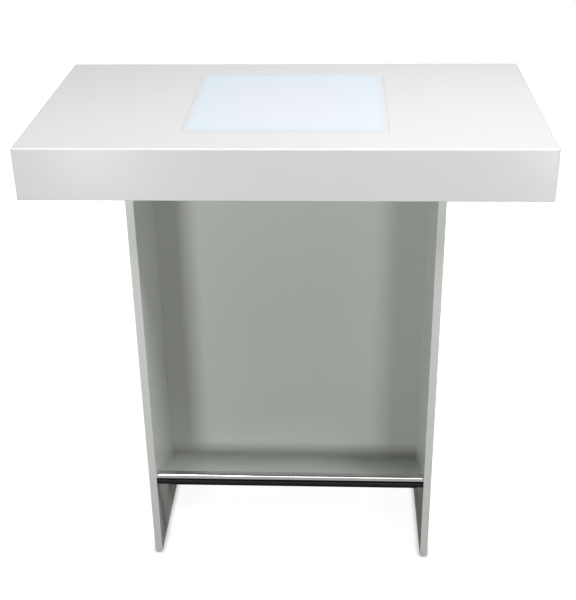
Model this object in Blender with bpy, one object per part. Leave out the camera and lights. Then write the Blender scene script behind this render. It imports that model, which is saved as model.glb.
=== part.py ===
"""Bar-height standing table with a lit panel set flush in its box top.

Metres, +Z up. The origin is on the floor under the middle of the top, and the front faces -Y.
"""

import math

import bmesh
import bpy
from mathutils import Matrix, Vector

# Overall sizes
TABLE_HEIGHT = 1.100
TOP_WIDTH = 1.115
TOP_DEPTH = 0.630
TOP_THICKNESS = 0.114
BOARD = 0.018
PEDESTAL_WIDTH = 0.686
PEDESTAL_DEPTH = 0.512

# Gaps and edges
FIT = 0.0003
OVERCUT = 0.001
ARRIS = 0.004
LOWER_ARRIS = 0.0015
ARRIS_STEPS = 5
PANEL_EDGE = 0.001
PANEL_EDGE_STEPS = 2
SHARP_ANGLE = math.radians(30)

# Pedestal
LEDGE_HEIGHT = 0.1255
LEDGE_DEPTH = 0.200

# Box top and light well
UNDERSIDE_RECESS = 0.003
DIFFUSER_SIDE = 0.440
DIFFUSER_THICKNESS = 0.008
DIFFUSER_GAP = 0.001
DIFFUSER_CORNER = 0.005
DIFFUSER_EDGE = 0.0004
LIP = 0.012
CORNER_STEPS = 4

# Light
LED_PLATE_THICKNESS = 0.002
LED_PLATE_GAP = 0.001
STRIP_COUNT = 4
STRIP_WIDTH = 0.012
STRIP_THICKNESS = 0.0016
STRIP_MARGIN = 0.020
LEDS_PER_STRIP = 9
LED_SIDE = 0.005
LED_HEIGHT = 0.0018
TERMINAL_LENGTH = 0.010
TERMINAL_HEIGHT = 0.006

# Driver, inlet and switch
DRIVER_LENGTH = 0.140
DRIVER_WIDTH = 0.036
DRIVER_HEIGHT = 0.028
DRIVER_LUG = 0.010
DRIVER_LUG_HEIGHT = 0.003
DRIVER_EDGE = 0.0012
DRIVER_LEAD_HEIGHT = 0.014
FLANGE_THICKNESS = 0.002
MOUTH_CORNER = 0.0012
INLET_X = 0.150
SOCKET_LENGTH = 0.024
SOCKET_WIDTH = 0.016
SOCKET_DEPTH = 0.017
SOCKET_CORNER = 0.003
BLADE_WIDTH = 0.004
BLADE_THICKNESS = 0.002
BLADE_LENGTH = 0.013
BLADE_SPACING = 0.007
BLADE_STAGGER = 0.0018
INLET_WALL = 0.003
INLET_FLANGE = 0.006
SWITCH_X = 0.085
ROCKER_LENGTH = 0.0144
ROCKER_WIDTH = 0.0094
ROCKER_RISE = 0.0034
ROCKER_DIP = 0.0020
ROCKER_EDGE_HEIGHT = 0.0016
ROCKER_BARREL = 0.0028
ROCKER_TILT = math.radians(10)
ROCKER_PIN_RADIUS = 0.0010
ROCKER_PIN_LENGTH = 0.0010
ROCKER_AXIS_DEPTH = 0.0022
SWITCH_WALL = 0.0018
SWITCH_FLANGE = 0.0020
SWITCH_BACK = 0.010

# Leads inside the box top
MAINS_LEAD_RADIUS = 0.003
LED_LEAD_RADIUS = 0.002
LEAD_SIDES = 2
LEAD_STEPS = 3
LEAD_HOLE_CLEARANCE = 0.001
LEAD_STRAIGHT = 0.012
LEAD_ARCH = 0.036
LED_LEAD_BEND = 0.030
SWITCH_LEAD_SPACING = 0.009

# Foot rails
RAIL_DIAMETER = 0.034
RAIL_WALL = 0.0015
RAIL_HEIGHT = 0.2208
RAIL_SETBACK = 0.001
RAIL_SIDES = 36
PLUG_LENGTH = 0.025

# Fasteners
HIDDEN_SIDES = 12
ROUND_SIDES = 24
DOWEL_RADIUS = 0.004
DOWEL_LENGTH = 0.035
DOWEL_SINK = 0.011
DOWEL_CHAMFER = 0.001
PANEL_DOWEL_INSET = 0.150
LEDGE_DOWEL_INSET = 0.040
SCREW_HEAD_RADIUS = 0.005
SCREW_RIM = 0.0006
SCREW_HEAD_DEPTH = 0.004
SCREW_RADIUS = 0.0032
SCREW_LENGTH = 0.050
SCREW_TIP = 0.004
SCREW_INSET = 0.080
BOLT_HEAD_RADIUS = 0.0085
BOLT_HEAD_HEIGHT = 0.003
BOLT_RADIUS = 0.004
BOLT_LENGTH = 0.040
BOLT_KEY_FLATS = 0.005
BOLT_KEY_DEPTH = 0.002
KEY_SIDES = 6

# Glides
GLIDE_RADIUS = 0.008
GLIDE_HEIGHT = 0.004
GLIDE_EDGE = 0.0010
GLIDE_STEM_RADIUS = 0.004
GLIDE_STEM_LENGTH = 0.016
GLIDE_INSET = 0.035
INSERT_RADIUS = 0.0055
INSERT_LENGTH = 0.020

# Levels that follow from the sizes; those of the top are measured from its upper surface
UNDERSIDE_BOTTOM = UNDERSIDE_RECESS - TOP_THICKNESS
UNDERSIDE_TOP = UNDERSIDE_BOTTOM + BOARD
WEB_HEIGHT = -BOARD - UNDERSIDE_TOP - 2 * FIT
INNER_DEPTH = TOP_DEPTH - 2 * BOARD - 2 * FIT
INNER_WIDTH = TOP_WIDTH - 2 * BOARD - 2 * FIT
WELL_SIDE = DIFFUSER_SIDE + 2 * DIFFUSER_GAP - 2 * LIP
WEB_OFFSET = (WELL_SIDE + BOARD) / 2
RIB_OFFSET = (WEB_OFFSET + INNER_WIDTH / 2) / 2
BAY_Y = (WEB_OFFSET + BOARD / 2 + INNER_DEPTH / 2) / 2
PANEL_BOTTOM = GLIDE_HEIGHT + FIT
PANEL_TOP = TABLE_HEIGHT + UNDERSIDE_BOTTOM - FIT
PANEL_HEIGHT = PANEL_TOP - PANEL_BOTTOM
PANEL_X = (PEDESTAL_WIDTH - BOARD) / 2
INNER_SPAN = PEDESTAL_WIDTH - 2 * BOARD - 2 * FIT
RAIL_Y = PEDESTAL_DEPTH / 2 - RAIL_SETBACK - RAIL_DIAMETER / 2

SIDES = (("left", -1), ("right", 1))
FACES = (("front", -1), ("rear", 1))


def finish(name, colour, roughness, metallic=0.0):
    """A Principled material in one colour."""
    material = bpy.data.materials.new(name)
    material.use_nodes = True
    shader = material.node_tree.nodes["Principled BSDF"]
    shader.inputs["Base Color"].default_value = (*colour, 1)
    shader.inputs["Roughness"].default_value = roughness
    shader.inputs["Metallic"].default_value = metallic
    return material


def opal_acrylic():
    """The lit panel: milky acrylic with a cool glow."""
    material = finish("opal_acrylic", (0.82, 0.88, 0.93), 0.25)
    shader = material.node_tree.nodes["Principled BSDF"]
    shader.inputs["Emission Color"].default_value = (0.80, 0.90, 1.0, 1)
    shader.inputs["Emission Strength"].default_value = 0.6
    return material


def add_object(name, shape, material, parent, place=(0, 0, 0), turn=(0, 0, 0)):
    """Turn a bmesh into a named object under its parent."""
    bmesh.ops.recalc_face_normals(shape, faces=shape.faces[:])
    mesh = bpy.data.meshes.new(name)
    shape.to_mesh(mesh)
    shape.free()
    mesh.shade_smooth()
    mesh.set_sharp_from_angle(angle=SHARP_ANGLE)
    if material:
        mesh.materials.append(material)
    piece = bpy.data.objects.new(name, mesh)
    bpy.context.collection.objects.link(piece)
    piece.parent = parent
    piece.location = place
    piece.rotation_euler = turn
    return piece


def add_tool(name, shape, parent, place=(0, 0, 0), turn=(0, 0, 0)):
    """A hidden shape that cuts or extends other pieces."""
    tool = add_object(name, shape, None, parent, place, turn)
    tool.hide_render = True
    tool.display_type = 'WIRE'
    return tool


def combine(host, tool, operation):
    modifier = host.modifiers.new(tool.name, 'BOOLEAN')
    modifier.operation = operation
    modifier.solver = 'EXACT'
    modifier.object = tool


def add_frame(name, place):
    frame = bpy.data.objects.new(name, None)
    bpy.context.collection.objects.link(frame)
    frame.location = place
    return frame


def box(size, centre=(0, 0, 0)):
    shape = bmesh.new()
    place = Matrix.Translation(centre) @ Matrix.Diagonal((*size, 1))
    bmesh.ops.create_cube(shape, size=1, matrix=place)
    return shape


def soften(shape, edges, radius, steps):
    bmesh.ops.bevel(
        shape, geom=edges, offset=radius, segments=steps, profile=0.5, affect='EDGES', material=-1)


def upright_edges(shape):
    return [e for e in shape.edges if abs(e.verts[0].co.z - e.verts[1].co.z) > FIT]


def board(size):
    """A lacquered board with all its edges eased."""
    shape = box(size)
    soften(shape, shape.edges[:], PANEL_EDGE, PANEL_EDGE_STEPS)
    return shape


def rounded_plate(length, width, thickness, corner):
    """A plate that hangs down from z = 0, with rounded corners."""
    shape = box((length, width, thickness), (0, 0, -thickness / 2))
    soften(shape, upright_edges(shape), corner, CORNER_STEPS)
    return shape


def shave(shape, point, outward):
    """Cut away everything on the outer side of a plane, and close the cut."""
    cut = bmesh.ops.bisect_plane(
        shape, geom=shape.verts[:] + shape.edges[:] + shape.faces[:],
        plane_co=point, plane_no=outward, clear_outer=True)
    rim = [e for e in cut["geom_cut"] if isinstance(e, bmesh.types.BMEdge)]
    bmesh.ops.holes_fill(shape, edges=rim)


def round_arris(shape, corner, first, second, radius=ARRIS):
    """Round the edge where two faces with these outward normals meet."""
    first = Vector(first)
    second = Vector(second)
    middle = Vector(corner) - radius * (first + second)
    for step in range(1, ARRIS_STEPS + 1):
        angle = step * math.pi / 2 / (ARRIS_STEPS + 1)
        outward = first * math.cos(angle) + second * math.sin(angle)
        shave(shape, middle + radius * outward, outward)


def mitre(shape, corner, first, second):
    """Cut at 45 degrees through a corner, half a fit back from the middle of the joint."""
    outward = (Vector(first) + Vector(second)).normalized()
    shave(shape, Vector(corner) - outward * FIT / 2, outward)


def turned(outline, sides, closed=False):
    """Turn an outline of (radius, height) points about Z."""
    shape = bmesh.new()
    points = [shape.verts.new((radius, 0, height)) for radius, height in outline]
    follows = points[1:] + points[:1] if closed else points[1:]
    lines = [shape.edges.new(pair) for pair in zip(points, follows)]
    bmesh.ops.spin(
        shape, geom=points + lines, cent=(0, 0, 0), axis=(0, 0, 1), angle=math.tau,
        steps=sides, use_merge=True)
    bmesh.ops.remove_doubles(shape, verts=shape.verts[:], dist=FIT / 100)
    return shape


def rod(radius, length, sides):
    """A plain round bar along Z, centred."""
    shape = bmesh.new()
    bmesh.ops.create_cone(
        shape, cap_ends=True, segments=sides, radius1=radius, radius2=radius, depth=length)
    return shape


def extruded(outline, width):
    """Extrude an outline of (x, z) points along Y, centred."""
    shape = bmesh.new()
    points = [shape.verts.new((x, -width / 2, z)) for x, z in outline]
    face = shape.faces.new(points)
    grown = bmesh.ops.extrude_face_region(shape, geom=[face])
    moved = [v for v in grown["geom"] if isinstance(v, bmesh.types.BMVert)]
    bmesh.ops.translate(shape, verts=moved, vec=(0, width, 0))
    return shape


def merged(shapes):
    """Several shapes in one bmesh."""
    whole = bmesh.new()
    for shape in shapes:
        mesh = bpy.data.meshes.new("loose")
        shape.to_mesh(mesh)
        shape.free()
        whole.from_mesh(mesh)
        bpy.data.meshes.remove(mesh)
    return whole


def drop_slivers(shape):
    """Join points that planes meeting in one corner left a hair apart."""
    bmesh.ops.remove_doubles(shape, verts=shape.verts[:], dist=FIT / 10)
    bmesh.ops.dissolve_degenerate(shape, edges=shape.edges[:], dist=FIT / 10)


def top_board_shape():
    """The top's board: mitred all round, with its outer edges rounded."""
    shape = box((TOP_WIDTH, TOP_DEPTH, BOARD), (0, 0, -BOARD / 2))
    up = Vector((0, 0, 1))
    for side in (-1, 1):
        for out, half in ((Vector((side, 0, 0)), TOP_WIDTH / 2), (Vector((0, side, 0)), TOP_DEPTH / 2)):
            mitre(shape, out * half, out, -up)
            round_arris(shape, out * half, out, up)
        for face in (-1, 1):
            corner = (side * TOP_WIDTH / 2, face * TOP_DEPTH / 2, 0)
            round_arris(shape, corner, (side, 0, 0), (0, face, 0))
    drop_slivers(shape)
    return shape


def apron_shape(length):
    """One side of the box top: its outer face on y = 0 and its lower edge on z = 0."""
    shape = box((length, BOARD, TOP_THICKNESS), (0, BOARD / 2, TOP_THICKNESS / 2))
    mitre(shape, (0, 0, TOP_THICKNESS), (0, 1, 0), (0, 0, 1))
    round_arris(shape, (0, 0, TOP_THICKNESS), (0, -1, 0), (0, 0, 1))
    round_arris(shape, (0, 0, 0), (0, -1, 0), (0, 0, -1), LOWER_ARRIS)
    round_arris(shape, (0, BOARD, 0), (0, 1, 0), (0, 0, -1), LOWER_ARRIS)
    for side in (-1, 1):
        mitre(shape, (side * length / 2, 0, 0), (side, 0, 0), (0, 1, 0))
        round_arris(shape, (side * length / 2, 0, 0), (0, -1, 0), (side, 0, 0))
    drop_slivers(shape)
    return shape


def build_box_top(frame, lacquer, core):
    """The mitred shell of the top, its underside, and the webs and ribs inside."""
    top = add_object("top_board", top_board_shape(), lacquer, frame)
    rebate = rounded_plate(
        DIFFUSER_SIDE + 2 * DIFFUSER_GAP, DIFFUSER_SIDE + 2 * DIFFUSER_GAP,
        DIFFUSER_THICKNESS + FIT + OVERCUT, DIFFUSER_CORNER + DIFFUSER_GAP)
    combine(top, add_tool("rebate_cutter", rebate, frame, (0, 0, OVERCUT)), 'DIFFERENCE')
    well = rounded_plate(WELL_SIDE, WELL_SIDE, BOARD + 2 * OVERCUT, DIFFUSER_CORNER)
    combine(top, add_tool("well_cutter", well, frame, (0, 0, OVERCUT)), 'DIFFERENCE')
    for name, side in FACES:
        turn = (0, 0, (1 + side) * math.pi / 2)
        place = (0, side * TOP_DEPTH / 2, -TOP_THICKNESS)
        add_object(f"{name}_apron", apron_shape(TOP_WIDTH), lacquer, frame, place, turn)
        place = (0, side * WEB_OFFSET, UNDERSIDE_TOP + FIT + WEB_HEIGHT / 2)
        add_object(f"{name}_web", box((WELL_SIDE - 2 * FIT, BOARD, WEB_HEIGHT)), core, frame, place)
    for name, side in SIDES:
        turn = (0, 0, side * math.pi / 2)
        place = (side * TOP_WIDTH / 2, 0, -TOP_THICKNESS)
        add_object(f"{name}_apron", apron_shape(TOP_DEPTH), lacquer, frame, place, turn)
        for kind, offset in (("web", WEB_OFFSET), ("rib", RIB_OFFSET)):
            place = (side * offset, 0, UNDERSIDE_TOP + FIT + WEB_HEIGHT / 2)
            add_object(f"{name}_{kind}", box((BOARD, INNER_DEPTH, WEB_HEIGHT)), core, frame, place)
    place = (0, 0, UNDERSIDE_TOP - BOARD / 2)
    return add_object("underside_board", box((INNER_WIDTH, INNER_DEPTH, BOARD)), lacquer, frame, place)


def build_diffuser(frame, acrylic):
    """The opal panel, which lies loose in its rebate and lifts straight up."""
    shape = rounded_plate(DIFFUSER_SIDE, DIFFUSER_SIDE, DIFFUSER_THICKNESS, DIFFUSER_CORNER)
    level = [e for e in shape.edges if all(abs(v.co.z) < FIT for v in e.verts)]
    soften(shape, level, DIFFUSER_EDGE, 1)
    add_object("diffuser_panel", shape, acrylic, frame)


def strip_end():
    """Where the strips' terminals are, left of the middle."""
    strip_length = WELL_SIDE - 2 * LED_PLATE_GAP - 2 * STRIP_MARGIN
    return (TERMINAL_LENGTH - strip_length) / 2


def strip_place(index):
    pitch = WELL_SIDE / STRIP_COUNT
    return (STRIP_COUNT - 1 - 2 * index) * pitch / 2


def build_light(frame, metal, circuit):
    """The heat-spreading plate and the strips of diodes on it."""
    side = WELL_SIDE - 2 * LED_PLATE_GAP
    level = UNDERSIDE_TOP + FIT + LED_PLATE_THICKNESS
    plate = box((side, side, LED_PLATE_THICKNESS), (0, 0, -LED_PLATE_THICKNESS / 2))
    add_object("led_plate", plate, metal, frame, (0, 0, level))
    length = side - 2 * STRIP_MARGIN
    bed = FIT + STRIP_THICKNESS
    for index in range(STRIP_COUNT):
        place = (0, strip_place(index), level)
        strip_box = box((length, STRIP_WIDTH, STRIP_THICKNESS), (0, 0, bed - STRIP_THICKNESS / 2))
        strip = add_object(f"led_strip_{index + 1}", strip_box, circuit, frame, place)
        pitch = (length - 2 * TERMINAL_LENGTH) / LEDS_PER_STRIP
        first = TERMINAL_LENGTH - length / 2 + pitch
        shapes = [box((TERMINAL_LENGTH, STRIP_WIDTH, TERMINAL_HEIGHT),
                      (strip_end(), 0, bed - FIT + TERMINAL_HEIGHT / 2))]
        for diode in range(LEDS_PER_STRIP):
            centre = (first + diode * pitch, 0, bed - FIT + LED_HEIGHT / 2)
            shapes.append(box((LED_SIDE, LED_SIDE, LED_HEIGHT), centre))
        parts = add_tool(f"strip_parts_{index + 1}", merged(shapes), frame, place)
        combine(strip, parts, 'UNION')


def build_driver(frame, plastic):
    """The driver of the diodes, with a lug at each end."""
    half = DRIVER_LENGTH / 2
    outline = [
        (-half - DRIVER_LUG, 0), (half + DRIVER_LUG, 0), (half + DRIVER_LUG, DRIVER_LUG_HEIGHT),
        (half, DRIVER_LUG_HEIGHT), (half, DRIVER_HEIGHT), (-half, DRIVER_HEIGHT),
        (-half, DRIVER_LUG_HEIGHT), (-half - DRIVER_LUG, DRIVER_LUG_HEIGHT)]
    shape = extruded(outline, DRIVER_WIDTH)
    upper = [e for e in shape.edges if all(v.co.z > DRIVER_LUG_HEIGHT + FIT for v in e.verts)]
    soften(shape, upper, DRIVER_EDGE, PANEL_EDGE_STEPS)
    add_object("led_driver", shape, plastic, frame, (driver_x(), BAY_Y, UNDERSIDE_TOP + FIT))


def driver_x():
    return strip_end() + LED_LEAD_BEND + DRIVER_LENGTH / 2


def open_housing(name, frame, plastic, underside, x, body, flange, mouth, corner):
    """A housing that fills a cut-out of the underside board and opens downwards."""
    body_length, body_width, body_height = body
    face = UNDERSIDE_BOTTOM - FIT - FLANGE_THICKNESS
    plate = rounded_plate(body_length + 2 * flange, body_width + 2 * flange, FLANGE_THICKNESS, corner)
    bmesh.ops.translate(plate, verts=plate.verts[:], vec=(0, 0, FLANGE_THICKNESS))
    housing = add_object(name, plate, plastic, frame, (x, BAY_Y, face))
    shell = box(body, (0, 0, FLANGE_THICKNESS / 2 + body_height / 2))
    combine(housing, add_tool(f"{name}_shell", shell, frame, (x, BAY_Y, face)), 'UNION')
    mouth_length, mouth_width, mouth_depth = mouth
    hollow = rounded_plate(mouth_length, mouth_width, mouth_depth + OVERCUT, MOUTH_CORNER)
    place = (x, BAY_Y, face + mouth_depth)
    combine(housing, add_tool(f"{name}_mouth", hollow, frame, place), 'DIFFERENCE')
    hole = box((body_length + 2 * FIT, body_width + 2 * FIT, BOARD + 2 * OVERCUT))
    place = (x, BAY_Y, UNDERSIDE_TOP - BOARD / 2)
    combine(underside, add_tool(f"{name}_cutout", hole, frame, place), 'DIFFERENCE')
    return housing


def housing_top(body_height):
    return UNDERSIDE_BOTTOM - FIT - FLANGE_THICKNESS / 2 + body_height


def inlet_body():
    length = SOCKET_LENGTH + 2 * INLET_WALL
    return length, SOCKET_WIDTH + 2 * INLET_WALL, SOCKET_DEPTH + INLET_WALL


def build_inlet(frame, plastic, underside):
    """The mains inlet in the underside, with three flat contacts in its socket."""
    mouth = (SOCKET_LENGTH, SOCKET_WIDTH, SOCKET_DEPTH)
    inlet = open_housing(
        "power_inlet", frame, plastic, underside, INLET_X, inlet_body(), INLET_FLANGE, mouth, SOCKET_CORNER)
    blades = []
    for index in (-1, 0, 1):
        across = BLADE_STAGGER if index == 0 else 0
        size = (BLADE_THICKNESS, BLADE_WIDTH, BLADE_LENGTH + OVERCUT)
        blades.append(box(size, (index * BLADE_SPACING, across, (OVERCUT - BLADE_LENGTH) / 2)))
    place = (INLET_X, BAY_Y, UNDERSIDE_BOTTOM - FIT - FLANGE_THICKNESS + SOCKET_DEPTH)
    combine(inlet, add_tool("inlet_blades", merged(blades), frame, place), 'UNION')


def switch_mouth():
    """The hollow that the rocker needs to tilt in."""
    reach = math.hypot(ROCKER_LENGTH / 2, ROCKER_RISE) + FIT
    return 2 * reach, ROCKER_WIDTH + 2 * FIT, ROCKER_AXIS_DEPTH + ROCKER_BARREL + FIT


def switch_body():
    length, width, depth = switch_mouth()
    return length + 2 * SWITCH_WALL, width + 2 * SWITCH_WALL, depth + SWITCH_BACK


def build_switch(frame, plastic, underside):
    """The rocker switch beside the inlet: the rocker tilts on two pins in the housing's walls."""
    housing = open_housing(
        "switch_housing", frame, plastic, underside, SWITCH_X, switch_body(), SWITCH_FLANGE,
        switch_mouth(), SWITCH_FLANGE)
    axis = (SWITCH_X, BAY_Y, UNDERSIDE_BOTTOM - FIT - FLANGE_THICKNESS + ROCKER_AXIS_DEPTH)
    across = (math.pi / 2, 0, 0)
    pins_length = ROCKER_WIDTH + 2 * ROCKER_PIN_LENGTH
    sockets = rod(ROCKER_PIN_RADIUS + FIT, pins_length + 2 * FIT, HIDDEN_SIDES)
    combine(housing, add_tool("rocker_sockets", sockets, frame, axis, across), 'DIFFERENCE')
    half = ROCKER_LENGTH / 2
    outline = [(-half, ROCKER_RISE), (0, ROCKER_DIP), (half, ROCKER_RISE)]
    outline.append((half, ROCKER_RISE - ROCKER_EDGE_HEIGHT))
    for step in range(HIDDEN_SIDES // 2 + 1):
        angle = 2 * math.pi * step / HIDDEN_SIDES
        outline.append((ROCKER_BARREL * math.cos(angle), -ROCKER_BARREL * math.sin(angle)))
    outline.append((-half, ROCKER_RISE - ROCKER_EDGE_HEIGHT))
    tilt = (0, math.pi + ROCKER_TILT, 0)
    rocker = add_object("switch_rocker", extruded(outline, ROCKER_WIDTH), plastic, frame, axis, tilt)
    pins = rod(ROCKER_PIN_RADIUS, pins_length, HIDDEN_SIDES)
    combine(rocker, add_tool("rocker_pins", pins, frame, axis, across), 'UNION')


def smooth_route(points):
    """Points on a smooth curve through the route's own points, with a straight run at each end."""
    route = points[:1]
    for before, start, target, after in zip(points, points[1:], points[2:], points[3:]):
        for step in range(LEAD_STEPS):
            t = step / LEAD_STEPS
            bend = 2 * before - 5 * start + 4 * target - after
            twist = 3 * (start - target) + after - before
            route.append(start + (t * (target - before) + t * t * bend + t ** 3 * twist) / 2)
    return route + points[-2:]


def add_lead(name, points, radius, material, frame):
    """A sheathed lead along a smooth curve."""
    curve = bpy.data.curves.new(name, 'CURVE')
    curve.dimensions = '3D'
    curve.bevel_depth = radius
    curve.bevel_resolution = LEAD_SIDES
    curve.use_fill_caps = True
    route = smooth_route([Vector(point) for point in points])
    spline = curve.splines.new('POLY')
    spline.points.add(len(route) - 1)
    for knot, point in zip(spline.points, route):
        knot.co = (*point, 1)
    curve.materials.append(material)
    lead = bpy.data.objects.new(name, curve)
    bpy.context.collection.objects.link(lead)
    lead.parent = frame


def build_leads(frame, sheath):
    """The leads from the inlet over the switch and the driver to the first strip."""
    inlet_top = housing_top(inlet_body()[2]) + FIT
    switch_top = housing_top(switch_body()[2]) + FIT
    enters = SWITCH_X + SWITCH_LEAD_SPACING / 2
    leaves = SWITCH_X - SWITCH_LEAD_SPACING / 2
    arch = max(inlet_top, switch_top) + LEAD_ARCH
    add_lead("inlet_lead", [
        (INLET_X, BAY_Y, inlet_top), (INLET_X, BAY_Y, inlet_top + LEAD_STRAIGHT),
        ((INLET_X + enters) / 2, BAY_Y, arch),
        (enters, BAY_Y, switch_top + LEAD_STRAIGHT), (enters, BAY_Y, switch_top)],
        MAINS_LEAD_RADIUS, sheath, frame)
    driver_level = UNDERSIDE_TOP + FIT + DRIVER_LEAD_HEIGHT
    driver_right = driver_x() + DRIVER_LENGTH / 2 + FIT
    add_lead("supply_lead", [
        (leaves, BAY_Y, switch_top), (leaves, BAY_Y, switch_top + LEAD_STRAIGHT),
        ((leaves + driver_right) / 2, BAY_Y, (arch + driver_level) / 2),
        (driver_right + LEAD_STRAIGHT, BAY_Y, driver_level), (driver_right, BAY_Y, driver_level)],
        MAINS_LEAD_RADIUS, sheath, frame)
    driver_left = driver_x() - DRIVER_LENGTH / 2 - FIT
    web_rear = WEB_OFFSET + BOARD / 2
    web_front = WEB_OFFSET - BOARD / 2
    end_level = UNDERSIDE_TOP + 2 * FIT + LED_PLATE_THICKNESS + STRIP_THICKNESS + TERMINAL_HEIGHT / 2
    end_y = strip_place(0) + STRIP_WIDTH / 2 + FIT
    add_lead("led_lead", [
        (driver_left, BAY_Y, driver_level), (driver_left - LEAD_STRAIGHT, BAY_Y, driver_level),
        (strip_end(), web_rear + LEAD_STRAIGHT, driver_level), (strip_end(), web_rear, driver_level),
        (strip_end(), web_front, driver_level), (strip_end(), web_front - LEAD_STRAIGHT, driver_level),
        (strip_end(), end_y + LEAD_STRAIGHT, end_level), (strip_end(), end_y, end_level)],
        LED_LEAD_RADIUS, sheath, frame)
    shape = rod(LED_LEAD_RADIUS + LEAD_HOLE_CLEARANCE, BOARD + 2 * OVERCUT, HIDDEN_SIDES)
    hole = add_tool("lead_hole", shape, frame, (strip_end(), WEB_OFFSET, driver_level), (math.pi / 2, 0, 0))
    combine(bpy.data.objects["rear_web"], hole, 'DIFFERENCE')


def build_pedestal(frame, lacquer):
    """The two side panels, the panel between them and the ledge it stands on."""
    panels = {}
    for name, side in SIDES:
        place = (side * PANEL_X, 0, PANEL_BOTTOM + PANEL_HEIGHT / 2)
        shape = board((BOARD, PEDESTAL_DEPTH, PANEL_HEIGHT))
        panels[name] = add_object(f"{name}_side_panel", shape, lacquer, frame, place)
    place = (0, 0, LEDGE_HEIGHT - BOARD / 2)
    shape = board((INNER_SPAN, LEDGE_DEPTH, BOARD))
    panels["bottom"] = add_object("bottom_board", shape, lacquer, frame, place)
    bottom = LEDGE_HEIGHT + FIT
    shape = board((INNER_SPAN, BOARD, PANEL_TOP - bottom))
    place = (0, 0, (PANEL_TOP + bottom) / 2)
    panels["centre"] = add_object("centre_panel", shape, lacquer, frame, place)
    return panels


def dowel_outline(grow=0.0):
    radius = DOWEL_RADIUS + grow
    half = DOWEL_LENGTH / 2 + grow
    return [
        (0, half), (radius - DOWEL_CHAMFER, half), (radius, half - DOWEL_CHAMFER),
        (radius, DOWEL_CHAMFER - half), (radius - DOWEL_CHAMFER, -half), (0, -half)]


def build_dowels(frame, wood, panels):
    """The dowels that join the centre panel and the ledge to the side panels."""
    lying = (0, math.pi / 2, 0)
    spread = LEDGE_DEPTH / 2 - LEDGE_DOWEL_INSET
    for name, side in SIDES:
        x = side * (PEDESTAL_WIDTH / 2 - BOARD + DOWEL_SINK - DOWEL_LENGTH / 2)
        seats = (
            ("panel", "centre", 1, (x, 0, LEDGE_HEIGHT + PANEL_DOWEL_INSET)),
            ("panel", "centre", 2, (x, 0, PANEL_TOP - PANEL_DOWEL_INSET)),
            ("ledge", "bottom", 1, (x, -spread, LEDGE_HEIGHT - BOARD / 2)),
            ("ledge", "bottom", 2, (x, spread, LEDGE_HEIGHT - BOARD / 2)))
        for kind, host, number, place in seats:
            label = f"{kind}_dowel_{name}_{number}"
            add_object(label, turned(dowel_outline(), HIDDEN_SIDES), wood, frame, place, lying)
            shape = turned(dowel_outline(FIT), HIDDEN_SIDES)
            bore = add_tool(f"{label}_bore", shape, frame, place, lying)
            combine(panels[host], bore, 'DIFFERENCE')
            combine(panels[name], bore, 'DIFFERENCE')


def screw_outline(top=0.0, grow=0.0):
    head = SCREW_HEAD_RADIUS + grow
    shank = SCREW_RADIUS + grow
    return [
        (0, top), (head, top), (head, -SCREW_RIM - grow), (shank, -SCREW_HEAD_DEPTH - grow),
        (shank, SCREW_TIP - SCREW_LENGTH - grow), (0, -SCREW_LENGTH - grow)]


def build_top_screws(frame, steel, panels, underside):
    """The screws that hold the underside board on the side panels."""
    for name, side in SIDES:
        for face_name, face in FACES:
            label = f"top_screw_{face_name}_{name}"
            y = face * (PEDESTAL_DEPTH / 2 - SCREW_INSET)
            place = (side * PANEL_X, y, TABLE_HEIGHT + UNDERSIDE_TOP)
            add_object(label, turned(screw_outline(), HIDDEN_SIDES), steel, frame, place)
            shape = turned(screw_outline(OVERCUT, FIT), HIDDEN_SIDES)
            bore = add_tool(f"{label}_bore", shape, frame, place)
            combine(underside, bore, 'DIFFERENCE')
            combine(panels[name], bore, 'DIFFERENCE')


def ring(outer, inner, length):
    """A tube that runs from z = 0 downwards."""
    return [(outer, 0), (outer, -length), (inner, -length), (inner, 0)]


def bolt_outline(top=0.0, grow=0.0):
    head = BOLT_HEAD_RADIUS + grow
    shank = BOLT_RADIUS + grow
    under = -BOLT_HEAD_HEIGHT - grow
    end = -BOLT_LENGTH - grow
    return [(0, top), (head, top), (head, under), (shank, under), (shank, end), (0, end)]


def build_rails(frame, chrome, steel, panels):
    """The foot rails: tubes with a threaded plug in each end, bolted through the side panels."""
    radius = RAIL_DIAMETER / 2
    for face_name, face in FACES:
        y = face * RAIL_Y
        tube = turned(ring(radius, radius - RAIL_WALL, INNER_SPAN), RAIL_SIDES, closed=True)
        place = (-INNER_SPAN / 2, y, RAIL_HEIGHT)
        add_object(f"{face_name}_foot_rail", tube, chrome, frame, place, (0, -math.pi / 2, 0))
        for name, side in SIDES:
            turn = (0, side * math.pi / 2, 0)
            label = f"{face_name}_{name}"
            outline = ring(radius - RAIL_WALL - FIT, BOLT_RADIUS + FIT, PLUG_LENGTH)
            plug = turned(outline, ROUND_SIDES, closed=True)
            place = (side * INNER_SPAN / 2, y, RAIL_HEIGHT)
            add_object(f"rail_plug_{label}", plug, steel, frame, place, turn)
            place = (side * PEDESTAL_WIDTH / 2, y, RAIL_HEIGHT)
            bolt = add_object(
                f"rail_bolt_{label}", turned(bolt_outline(), ROUND_SIDES), steel, frame, place, turn)
            socket = rod(BOLT_KEY_FLATS / math.sqrt(3), 2 * BOLT_KEY_DEPTH, KEY_SIDES)
            combine(bolt, add_tool(f"bolt_key_{label}", socket, frame, place, turn), 'DIFFERENCE')
            shape = turned(bolt_outline(OVERCUT, FIT), ROUND_SIDES)
            combine(panels[name], add_tool(f"bolt_bore_{label}", shape, frame, place, turn), 'DIFFERENCE')


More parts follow.
